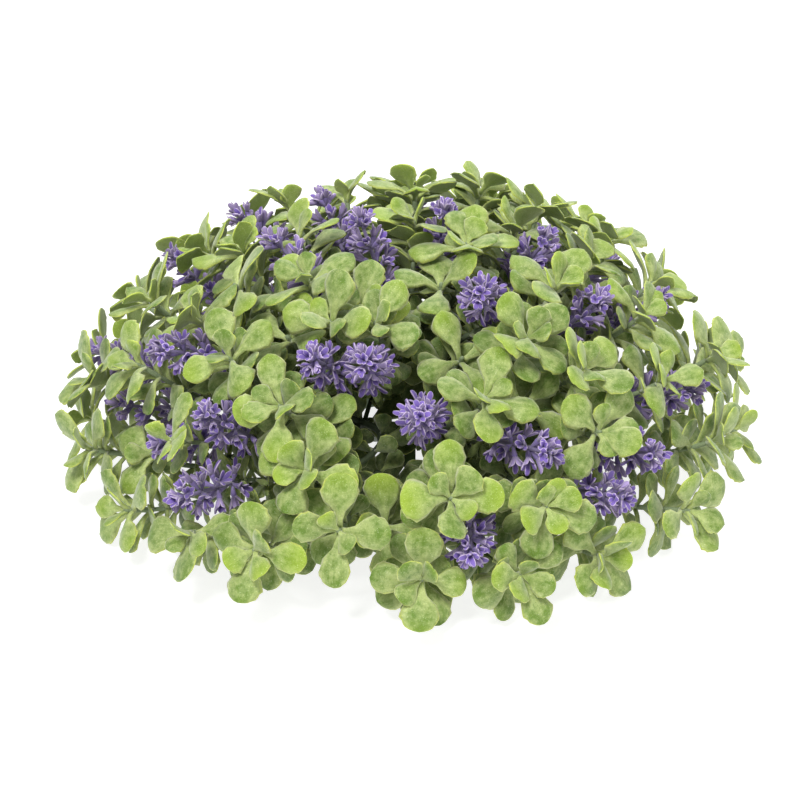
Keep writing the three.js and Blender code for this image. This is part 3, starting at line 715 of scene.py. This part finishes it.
def makeDusty(look):
    material, tree, grain, (along, across, under, tone) = startMoulded(look, floretAttributes)
    folds, edge, foot, shade = [
        addNode(tree, "ShaderNodeMapRange", (read, *look[name])).outputs[0]
        for name, read in (("folds", across), ("edge", across), ("foot", along), ("shade", tone))]
    back = addNode(tree, "ShaderNodeMath", (under, look["backBody"]), operation="MULTIPLY").outputs[0]
    outside = addNode(tree, "ShaderNodeMath", (folds, back), operation="MAXIMUM").outputs[0]
    dustyBack = addNode(tree, "ShaderNodeMath", (under, look["backDust"]), operation="MULTIPLY").outputs[0]
    dust = addNode(tree, "ShaderNodeMath", (edge, dustyBack), operation="MAXIMUM").outputs[0]
    layColours(tree, linear(look["deep"]), (
        (outside, look["body"]), (dust, look["dusted"]), (foot, look["base"]), (1.0, shade, "MULTIPLY")))
    return material


# The cage: dark green polypropylene, injection moulded, with a satin skin and faint flow marks.
satin = dict(name="moulded_polypropylene_cage", body="#2C4226", worn="#4B6338",
             grain=1.2, grainDetail=3.0, grainMix=0.6, grainBump=0.2, grainDepth=0.1,
             shader={"Roughness": 0.46, "IOR": 1.49})


def makeSatin(look):
    material, tree, flow, _ = startMoulded(look)
    layColours(tree, linear(look["body"]), ((flow, look["worn"]),))
    return material


leafMaterial = makeFlocked(flocked)
stalkMaterial = makeStalk(stalks)
floretMaterial = makeDusty(dusty)
cageMaterial = makeSatin(satin)
print("materials made")

# What a leaf's mesh looks like. Its tone, width, curl and roll are drawn within the ranges.
upperForm = dict(stations=12, baseStations=4, sides=8, base=0.24, widest=0.6, neck=1.15, petiole=0.17,
                 thickness=1.4, stalkThickness=1.3, wave=0.35, waves=0.9, ragged=0.08, groove=0.3,
                 tone=(0.35, 1), broad=(0.92, 1.12), curl=(-0.36, 0.2), roll=(-0.3, 0.3))
# Lower and collar leaves draw lower tones, so they come out darker: painted shade.
lowerForm = dict(upperForm, stations=9, baseStations=3, broad=(0.88, 1.08), tone=(0, 0.6))
collarForm = dict(lowerForm, tone=(0, 0.4))
narrowForm = dict(upperForm, stations=6, baseStations=2, sides=6, widest=0.5, petiole=0.4, thickness=0.8,
                  wave=0.0, groove=0.1, tone=(0, 0.3))
flatter = dict(step=0.08, most=0.4)
tierShade = 0.9
looks = np.random.default_rng(5)


# How far out a point lies, 0 near the cage and 1 on the dome. The leaf and stem colours paint shade by it,
# darker near the cage.
def depthOf(points):
    share = np.sqrt((points[..., 0] ** 2 + points[..., 1] ** 2) / dome["radius"] ** 2
                    + ((points[..., 2] - dome["centreHeight"]) / dome["rise"]) ** 2)
    return np.clip((share - 0.55) / 0.4, 0, 1)


# A leaf whose rim curls down to the floor is made flatter until it clears it.
def addLeaf(piece, leaf, form):
    tone = looks.uniform(*form["tone"])
    seen = dict(leaf, cup=leaf["cup"] + looks.uniform(*form["curl"]), roll=looks.uniform(*form["roll"]),
                halfWidth=leaf["halfWidth"] * looks.uniform(*form["broad"]))
    seed = looks.integers(1 << 30)
    while True:
        rings, along, across, under = leafRings(seen, form, np.random.default_rng(seed))
        if rings[..., 2].min() >= aboveFloor["rim"] or seen["cup"] >= flatter["most"]:
            break
        seen["cup"] += flatter["step"]
    # Each tier down paints a leaf darker through its depth: painted shade.
    piece.add(rings, along=along, across=across, under=under, tone=tone,
              depth=depthOf(rings) * tierShade ** leaf.get("tier", 0))


# A stem of round rings along stations, its radius running evenly from the first value to the last, with
# swellings near its leaves: r (1 + share exp(-(d / reach)^2)), d being the distance to one.
swelling = dict(share=0.35, reach=1.1, atRosette=(1.4, 3.2), pastTwig=2.4)


def addStem(piece, stations, first, last, swellings=(), sides=8):
    points, alongs, acrosses = stationArrays(stations)
    walked = np.append(0, np.cumsum(np.linalg.norm(np.diff(points, axis=0), axis=1)))
    radii = first + (last - first) * walked / walked[-1]
    for distance in swellings:
        offset = walked[-1] - walked - distance
        radii = radii * (1 + swelling["share"] * np.exp(-(offset / swelling["reach"]) ** 2))
    piece.add(pathRings(points, alongs, acrosses, radii, sides), depth=depthOf(points)[:, None])


# The foot of a pick, as distances from the cage's centre and radii: the bevelled plug that stands in the
# socket, its shoulder with softened edges, the neck over it, and the main stem up to the top of its fork.
foot = dict(plugTip=1.2, bevel=0.6, flat=0.05, edge=0.3, softened=0.2, neckHeight=2, neckReach=1.7,
            topReach=1.45, sides=12)
plugReach, shoulderReach = seat["plugReach"], seat["shoulderReach"]
shoulderTop = socketMouth + seat["shoulderHeight"]
forkBottom = socketMouth + stem["forkAt"]
footDistances, footRadii = np.array([
    (seat["plugInner"], foot["plugTip"]), (seat["plugInner"] + foot["bevel"], plugReach),
    (socketMouth, plugReach), (socketMouth + foot["flat"], shoulderReach - foot["softened"]),
    (socketMouth + foot["edge"], shoulderReach), (shoulderTop - foot["softened"], shoulderReach),
    (shoulderTop, shoulderReach - foot["edge"]), (socketMouth + foot["neckHeight"], foot["neckReach"]),
    (forkBottom, stem["mainReach"]), (forkBottom + stem["forkHeight"], foot["topReach"])]).T

# A pale nub stands between the heart leaves, on a twig that ends a little over them.
nub = dict(heights=(2.6, 3.6, 4.6, 5.2), radii=np.array([0.8, 1.0, 0.8, 0.35]), sides=8, twigOver=0.6)
heartTop = rosette["tierHeight"] + rosette["heartHeight"]

for i, pick in enumerate(picks, 1):
    number = "%02d" % i
    leaves = Piece("spray_leaves_" + number, leafMaterial, "boxwood", ["pick_" + number], leafAttributes)
    stems = Piece("spray_stems_" + number, stalkMaterial, "boxwood", ["pick_" + number], ("depth",))
    points = footDistances[:, None] * pick["along"]
    rows = (len(points), 1)
    stems.add(pathRings(points, np.tile(pick["along"], rows), np.tile(pick["across"], rows), footRadii,
                        foot["sides"]), depth=depthOf(points)[:, None])
    for branch in pick["branches"]:
        stations = onFloor(routed(pick, branch, stemSteps["twigMesh"], branch["spin"]))
        point, along, across = stations[-1]
        stations += [(point + height * along, along, across)
                     for height in (rosette["tierHeight"], heartTop + nub["twigOver"])]
        addStem(stems, stations, stem["twigReach"], stem["tipReach"],
                swelling["atRosette"] + tuple(swelling["pastTwig"] + step for step in lowerSteps))
        for leaf in branch["leaves"]:
            addLeaf(leaves, leaf, upperForm)
        for leaf in branch["lower"]:
            addLeaf(leaves, leaf, lowerForm)
        points, alongs, acrosses = stationArrays(
            [(point + height * along, along, across) for height in nub["heights"]])
        stems.add(pathRings(points, alongs, acrosses, nub["radii"], nub["sides"]), depth=1.0)
    for leaf in pick["collar"]:
        addLeaf(leaves, leaf, collarForm)
    for sprig in pick["sprigs"]:
        stations = onFloor(routed(pick, sprig, stemSteps["sprigMesh"]))
        addStem(stems, stations, stem["sprigReach"], stem["tipReach"])
        for leaf in sprig["narrow"]:
            addLeaf(leaves, leaf, narrowForm)
    leaves.finish()
    stems.finish()
print("sprays made")

# A spike: whorls of florets up a core, each leaning out less than the one below it, and one tuft at the tip.
# The whorls swell by sin(pi (swellFrom + swellOver k)), k going from 0 at the lowest to 1 at the highest.
spike = dict(whorls=4, tufts=5, petals=5, first=3.6, step=8.6, petal=7.2, cup=4.8, tilt=70, tiltStep=8,
             swellFrom=0.34, swellOver=0.42, turnDraw=0.25, leanDraw=0.14, footDraw=1,
             coreHeights=(0, 12, 24, 34), coreRadii=np.array([0.8, 0.8, 0.75, 0.5]), coreSides=8)
tipTuft = dict(below=9.5, cup=3.0, petal=6.8, petals=7)
# A floret's cup has its waist at a share of its height, and a lip. Its petals are drawn within the ranges.
floret = dict(waist=0.45, lip=0.9, radii=np.array([0.5, 0.7, 1.15, 0.9]), sides=6, across=0.4,
              along=np.array([[0.0], [0.1], [0.25], [0.3]]), petalAt=0.35, petalCup=0.45, halfWidth=1.1,
              spread=(4, 36), arch=(-12, 30), size=(0.68, 1.0), width=(0.8, 1.15), turnDraw=16, toneDraw=0.2)
petalForm = dict(stations=6, baseStations=2, sides=6, base=0.02, widest=0.72, neck=0.6, petiole=0.42,
                 thickness=0.9, stalkThickness=1.1, wave=0.0, waves=1.0, ragged=0.06, groove=0.4)


# Something drawn evenly from -reach to reach.
def jitter(reach):
    return looks.uniform(-reach, reach)


# A floret: a cup that widens from the core, and a handful of finger-like petals that stand in it and flare.
def addTuft(piece, foot, axis, cup, length, count):
    across = levelAcross(axis)
    start = looks.uniform(0, 360)
    tone = looks.uniform(0, 1)
    mouth = foot + cup * axis
    points = np.array([foot, foot + floret["waist"] * cup * axis, mouth, mouth + floret["lip"] * axis])
    rows = (len(points), 1)
    piece.add(pathRings(points, np.tile(axis, rows), np.tile(across, rows), floret["radii"], floret["sides"]),
              along=floret["along"], across=floret["across"], tone=tone)
    for k in range(count):
        out = turned(across, axis, start + k * 360 / count + jitter(floret["turnDraw"]))
        petal = dict(root=mouth + floret["petalAt"] * out, axis=axis, out=out, side=np.cross(axis, out),
                     spread=looks.uniform(*floret["spread"]), arch=looks.uniform(*floret["arch"]),
                     length=length * looks.uniform(*floret["size"]),
                     halfWidth=floret["halfWidth"] * looks.uniform(*floret["width"]), cup=floret["petalCup"])
        rings, along, cross, under = leafRings(petal, petalForm, looks)
        piece.add(rings, along=along, across=cross, under=under,
                  tone=np.clip(tone + jitter(floret["toneDraw"]), 0, 1))


sprigs = [sprig for pick in picks for sprig in pick["sprigs"]]
for i, sprig in enumerate(sprigs, 1):
    number = "%02d" % i
    flower = Piece("lavender_spike_" + number, floretMaterial, "lavender", ["lavender_" + number],
                   floretAttributes)
    axis = sprig["facing"]
    across = levelAcross(axis)
    over = np.cross(axis, across)
    points, alongs, acrosses = stationArrays(
        [(sprig["end"] + (seat["gap"] + height) * axis, axis, across) for height in spike["coreHeights"]])
    flower.add(pathRings(points, alongs, acrosses, spike["coreRadii"], spike["coreSides"]), across=0.3,
               tone=0.3)
    for w in range(spike["whorls"]):
        swell = math.sin(math.pi * (spike["swellFrom"] + spike["swellOver"] * w / (spike["whorls"] - 1)))
        tilt = math.radians(spike["tilt"] - spike["tiltStep"] * w)
        level = sprig["end"] + (spike["first"] + w * spike["step"]) * axis
        for t in range(spike["tufts"]):
            angle = 2 * math.pi * (t + 0.5 * w) / spike["tufts"] + jitter(spike["turnDraw"])
            radial = math.cos(angle) * across + math.sin(angle) * over
            leaning = tilt + jitter(spike["leanDraw"])
            heading = unit(math.cos(leaning) * axis + math.sin(leaning) * radial)
            addTuft(flower, level + jitter(spike["footDraw"]) * axis, heading, spike["cup"] * swell,
                    spike["petal"] * swell, spike["petals"])
    tip = sprig["end"] + (head["length"] - tipTuft["below"]) * axis
    addTuft(flower, tip, axis, tipTuft["cup"], tipTuft["petal"], tipTuft["petals"])
    flower.finish()
print("lavender made:", len(sprigs), "spikes")

cage = dict(radius=41, wall=2.4, bandHeight=12.6, hoopHeight=3, hoops=(40, 66), hoopSides=96, ribWidth=4.4,
            ribReach=84, ribStations=49, round=0.5)
frameGreen = Piece("cage_moulding", cageMaterial, "cage", ["cage"])
upward = np.array([0.0, 0.0, 1.0])


# A rectangle with cut corners, width by height, round the origin.
def cutRectangle(width, height, corner):
    w, h = width / 2, height / 2
    return np.array([(w, -h + corner), (w, h - corner), (w - corner, h), (-w + corner, h), (-w, h - corner),
                     (-w, -h + corner), (-w + corner, -h), (w - corner, -h)])


# A section carried along a path: centre + a first + b second for each of its points (a, b).
def swept(centres, firsts, seconds, section):
    return (centres[:, None, :] + section[None, :, :1] * firsts[:, None, :]
            + section[None, :, 1:] * seconds[:, None, :])


# A level ring: the section goes round the origin, its width upright and its height along the radius.
def addHoop(radius, middle, width, height):
    a = np.arange(cage["hoopSides"]) * 2 * np.pi / cage["hoopSides"]
    radial = np.stack([np.cos(a), np.sin(a), 0 * a], axis=1)
    frameGreen.add(swept(radius * radial + middle * upward, np.tile(upward, (len(a), 1)), radial,
                         cutRectangle(width, height, cage["round"])), loop=True)


middleRadius = cage["radius"] - cage["wall"] / 2
addHoop(middleRadius, cage["bandHeight"] / 2, cage["bandHeight"], cage["wall"])
for degrees in cage["hoops"]:
    elevation = math.radians(degrees)
    addHoop(cage["radius"] * math.cos(elevation) - cage["wall"] / 4, middleRadius * math.sin(elevation),
            cage["hoopHeight"], cage["wall"])

# Two half rings that pass over the top.
for level in np.eye(3)[:2]:
    a = np.radians(np.linspace(90 - cage["ribReach"], 90 + cage["ribReach"], cage["ribStations"]))
    radial = np.cos(a)[:, None] * level + np.sin(a)[:, None] * upward
    frameGreen.add(swept(middleRadius * radial, np.tile(np.cross(level, upward), (len(a), 1)), radial,
                         cutRectangle(cage["ribWidth"], cage["wall"], cage["round"])))

# The sockets: tubes with a rounded lip, turned round their own axis.
tube = dict(bore=2.35, wall=3.8, lip=4.15, lipDepth=1.1, round=0.35, sides=28)
low, high, edge = socket["inner"], socket["outer"], tube["round"]
collar = high - tube["lipDepth"]
tubeSection = np.array([
    (low, tube["wall"] - edge), (low, tube["bore"]), (high - edge, tube["bore"]), (high, tube["bore"] + edge),
    (high, tube["lip"] - edge), (high - edge, tube["lip"]), (collar, tube["lip"]),
    (collar - edge, tube["wall"]), (low + edge, tube["wall"])])
for pick in picks:
    a = np.arange(tube["sides"])[:, None] * 2 * np.pi / tube["sides"]
    radial = np.cos(a) * pick["across"] + np.sin(a) * np.cross(pick["along"], pick["across"])
    frameGreen.add(swept(0 * radial, np.tile(pick["along"], (len(a), 1)), radial, tubeSection), loop=True)
frameGreen.finish()
print("cage made")

# A near white floor that glows a little, so that the shadows on it stay faint.
paper = dict(reach=6.0, shader={"Base Color": linear("#A8A8A8"), "Roughness": 0.9,
                                "Emission Color": linear("#FFFFFF"), "Emission Strength": 0.82})
floorMaterial = bpy.data.materials.new("pale_paper_floor")
floorMaterial.use_nodes = True
feed(floorMaterial.node_tree, floorMaterial.node_tree.nodes["Principled BSDF"], paper["shader"])
floorMesh = bpy.data.meshes.new("floor")
corners = [(-1, -1, 0), (1, -1, 0), (1, 1, 0), (-1, 1, 0)]
floorMesh.from_pydata((np.array(corners) * paper["reach"]).tolist(), [], [(0, 1, 2, 3)])
floorMesh.materials.append(floorMaterial)
floor = addObject("floor", floorMesh)

world = bpy.data.worlds.new("studio")
world.use_nodes = True
feed(world.node_tree, world.node_tree.nodes["Background"], {"Color": (1.0, 1.0, 1.0, 1.0), "Strength": 0.42})
bpy.context.scene.world = world


def addSoftLight(name, place, size, watts, aim=(0, 0, 0.05)):
    data = bpy.data.lights.new(name, "AREA")
    data.shape = "DISK"
    data.size = size
    data.energy = watts
    light = addObject(name, data)
    light.location = place
    light.rotation_euler = (Vector(aim) - Vector(place)).to_track_quat("-Z", "Y").to_euler()


addSoftLight("key", (-0.35, -0.7, 1.2), 0.45, 16.0)
addSoftLight("fill", (0.8, -0.6, 0.7), 0.6, 4.0)
addSoftLight("back", (0.15, 0.9, 0.9), 0.8, 9.0)

# The camera stands 31 degrees above the floor, 0.95 m away, which gives the photograph's outline.
view = dict(distance=0.95, elevation=31, aim=(-0.004, 0.0107, 0.0178), lens=106.9, sensor=36, nearest=0.01)
lens = bpy.data.cameras.new("camera")
lens.lens = view["lens"]
lens.sensor_width = view["sensor"]
lens.clip_start = view["nearest"]
camera = addObject("camera", lens)
rise = math.radians(view["elevation"])
camera.location = Vector((0, -math.cos(rise), math.sin(rise))) * view["distance"]
camera.rotation_euler = (Vector(view["aim"]) - camera.location).to_track_quat("-Z", "Y").to_euler()
bpy.context.scene.camera = camera
bpy.context.scene.view_settings.view_transform = "Standard"
